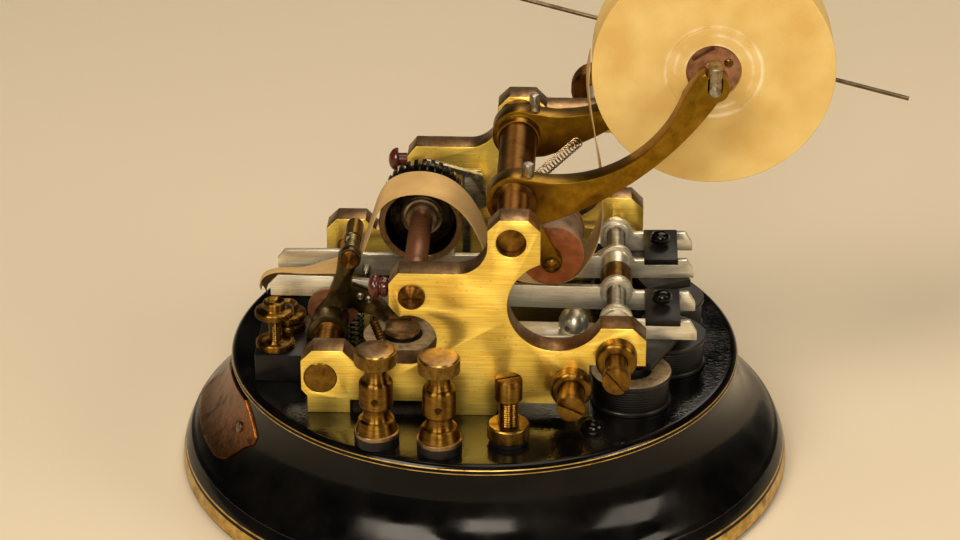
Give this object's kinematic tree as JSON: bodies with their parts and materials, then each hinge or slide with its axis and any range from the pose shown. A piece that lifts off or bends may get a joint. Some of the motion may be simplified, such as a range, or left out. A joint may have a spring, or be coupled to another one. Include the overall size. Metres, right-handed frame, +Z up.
{
  "type": "stock ticker",
  "caption": "Printing telegraph receiver: profiled brass plates, lever train, magnet coils and a paper reel on curved arms, on a round black base.",
  "frame": {"origin": "centre of the base's underside", "axes": "+X to the right along the plates, towards the reel; +Y to the back; +Z up"},
  "size_m": [0.2543, 0.2172, 0.1929],
  "materials": {
    "japan": "gloss black japan with fine crackle",
    "floor_paint": "matt black",
    "badge_brass": "tarnished, textured",
    "plate_brass": "brushed faces, tarnished edges",
    "arm_bronze": "dark bronze",
    "aged_brass": "aged",
    "shaft_copper": "tarnished copper brown",
    "bright_steel": "bright",
    "dark_iron": "dark",
    "coil_black": "black insulated winding",
    "ebonite": "black ebonite",
    "knob_brown": "dark red-brown",
    "fibre_red": "vulcanised fibre",
    "core_wood": "dark stained",
    "paper_buff": "aged buff"
  },
  "bodies": {
    "frame": {"base_casting": "japan", "base_floor_plate": "floor_paint", "badge_plate": "badge_brass", "front_plate": "plate_brass", "back_plate": "plate_brass", "reel_crossbar": "arm_bronze", "front_reel_arm": "arm_bronze", "back_reel_arm": "arm_bronze", "guide_strap": "arm_bronze", "shaft_spacer": "aged_brass", "binding_post_1": "aged_brass", "binding_post_2": "aged_brass", "adjust_post_nut": "aged_brass", "terminal_stud_a": "aged_brass", "terminal_stud_b": "aged_brass", "right_pivot_nut": "aged_brass", "lower_pivot_nut": "aged_brass", "front_bearing_screw": "aged_brass", "left_shaft": "shaft_copper", "reel_axle": "bright_steel", "reel_guard_rod": "bright_steel", "right_shaft": "bright_steel", "return_spring": "bright_steel", "unison_plate": "bright_steel", "front_coil_inner": "coil_black", "front_coil_outer": "coil_black", "rear_coil_inner": "coil_black", "rear_coil_outer": "coil_black", "left_coil_front": "coil_black", "left_coil_rear": "coil_black", "terminal_block": "ebonite", "paper_tape": "paper_buff"},
    "roll": {"reel_core": "core_wood", "paper_roll": "paper_buff"},
    "type_train": {"type_wheel": "dark_iron", "type_shaft": "shaft_copper", "escapement_wheel": "bright_steel"},
    "roller": {"guide_roller": "fibre_red"},
    "rocker_rear": {"lever_a": "bright_steel", "lever_b": "bright_steel", "armature_block_1": "dark_iron", "armature_slab_1": "dark_iron"},
    "rocker_front": {"lever_c": "bright_steel", "lever_d": "bright_steel", "armature_block_2": "dark_iron", "armature_slab_2": "dark_iron"},
    "printer": {"print_lever": "arm_bronze", "print_armature": "arm_bronze", "feed_spindle": "bright_steel"},
    "thumb_1": {"thumb_head_1": "aged_brass"},
    "thumb_2": {"thumb_head_2": "aged_brass"},
    "nut_a": {"terminal_nut_a": "aged_brass"},
    "nut_b": {"terminal_nut_b": "aged_brass"},
    "adjuster": {"adjust_post_screw": "aged_brass"},
    "lock_front": {"front_lock_knob": "knob_brown"},
    "lock_back": {"back_lock_knob": "knob_brown"},
    "setting": {"setting_knob": "aged_brass"},
    "pivot_right": {"right_pivot_screw": "aged_brass"},
    "pivot_lower": {"lower_pivot_screw": "aged_brass"},
    "unison": {"unison_arm": "bright_steel"}
  },
  "joints": [
    {"name": "reel_spin", "type": "hinge", "parent": "frame", "child": "roll", "pos_m": [0.0773, 0.001, 0.1519], "axis": [0, 1, 0], "continuous": true},
    {"name": "type_spin", "type": "hinge", "parent": "frame", "child": "type_train", "pos_m": [-0.0224, 0.005, 0.0888], "axis": [0, 1, 0], "continuous": true},
    {"name": "roller_spin", "type": "hinge", "parent": "frame", "child": "roller", "pos_m": [0.0237, 0.001, 0.0824], "axis": [0, 1, 0], "continuous": true},
    {"name": "rear_rock", "type": "hinge", "parent": "frame", "child": "rocker_rear", "pos_m": [0.0463, 0.017, 0.0678], "axis": [0, 1, 0], "range_deg": [0, 1.3], "stiffness_Nm_per_rad": 2, "springref_deg": -17.19},
    {"name": "front_rock", "type": "hinge", "parent": "frame", "child": "rocker_front", "pos_m": [0.0463, -0.007, 0.0678], "axis": [0, 1, 0], "range_deg": [-1.3, 0.1], "stiffness_Nm_per_rad": 3},
    {"name": "print_swing", "type": "hinge", "parent": "frame", "child": "printer", "pos_m": [-0.0535, -0.014, 0.0573], "axis": [0, 1, 0], "range_deg": [-3, 0.5], "stiffness_Nm_per_rad": 2, "deforming": ["return_spring"]},
    {"name": "thumb_1_turn", "type": "hinge", "parent": "frame", "child": "thumb_1", "pos_m": [-0.0332, -0.074, 0.074], "axis": [0, 0, 1], "range_deg": [-360, 360]},
    {"name": "thumb_2_turn", "type": "hinge", "parent": "frame", "child": "thumb_2", "pos_m": [-0.012, -0.0786, 0.074], "axis": [0, 0, 1], "range_deg": [-360, 360]},
    {"name": "nut_a_turn", "type": "hinge", "parent": "frame", "child": "nut_a", "pos_m": [-0.0716, -0.027, 0.068], "axis": [0, 0, 1], "range_deg": [-360, 360]},
    {"name": "nut_b_turn", "type": "hinge", "parent": "frame", "child": "nut_b", "pos_m": [-0.0689, -0.0127, 0.06], "axis": [0, 0, 1], "range_deg": [-360, 360]},
    {"name": "adjuster_turn", "type": "hinge", "parent": "frame", "child": "adjuster", "pos_m": [0.0107, -0.072, 0.062], "axis": [0, 0, 1], "range_deg": [-360, 360]},
    {"name": "lock_front_turn", "type": "hinge", "parent": "frame", "child": "lock_front", "pos_m": [-0.034, -0.0505, 0.09], "axis": [1, 0, 0], "range_deg": [-180, 180]},
    {"name": "lock_back_turn", "type": "hinge", "parent": "frame", "child": "lock_back", "pos_m": [-0.034, 0.0513, 0.09], "axis": [1, 0, 0], "range_deg": [-180, 180]},
    {"name": "setting_turn", "type": "hinge", "parent": "frame", "child": "setting", "pos_m": [0.038, 0.06, 0.109], "axis": [0, 1, 0], "continuous": true},
    {"name": "pivot_right_turn", "type": "hinge", "parent": "frame", "child": "pivot_right", "pos_m": [0.0463, -0.06, 0.0678], "axis": [0, 1, 0], "range_deg": [-360, 360]},
    {"name": "pivot_lower_turn", "type": "hinge", "parent": "frame", "child": "pivot_lower", "pos_m": [0.0314, -0.06, 0.0565], "axis": [0, 1, 0], "range_deg": [-360, 360]},
    {"name": "unison_lift", "type": "hinge", "parent": "frame", "child": "unison", "pos_m": [-0.0046, 0.037, 0.09], "axis": [0, 1, 0], "range_deg": [0, 15]}
  ]
}
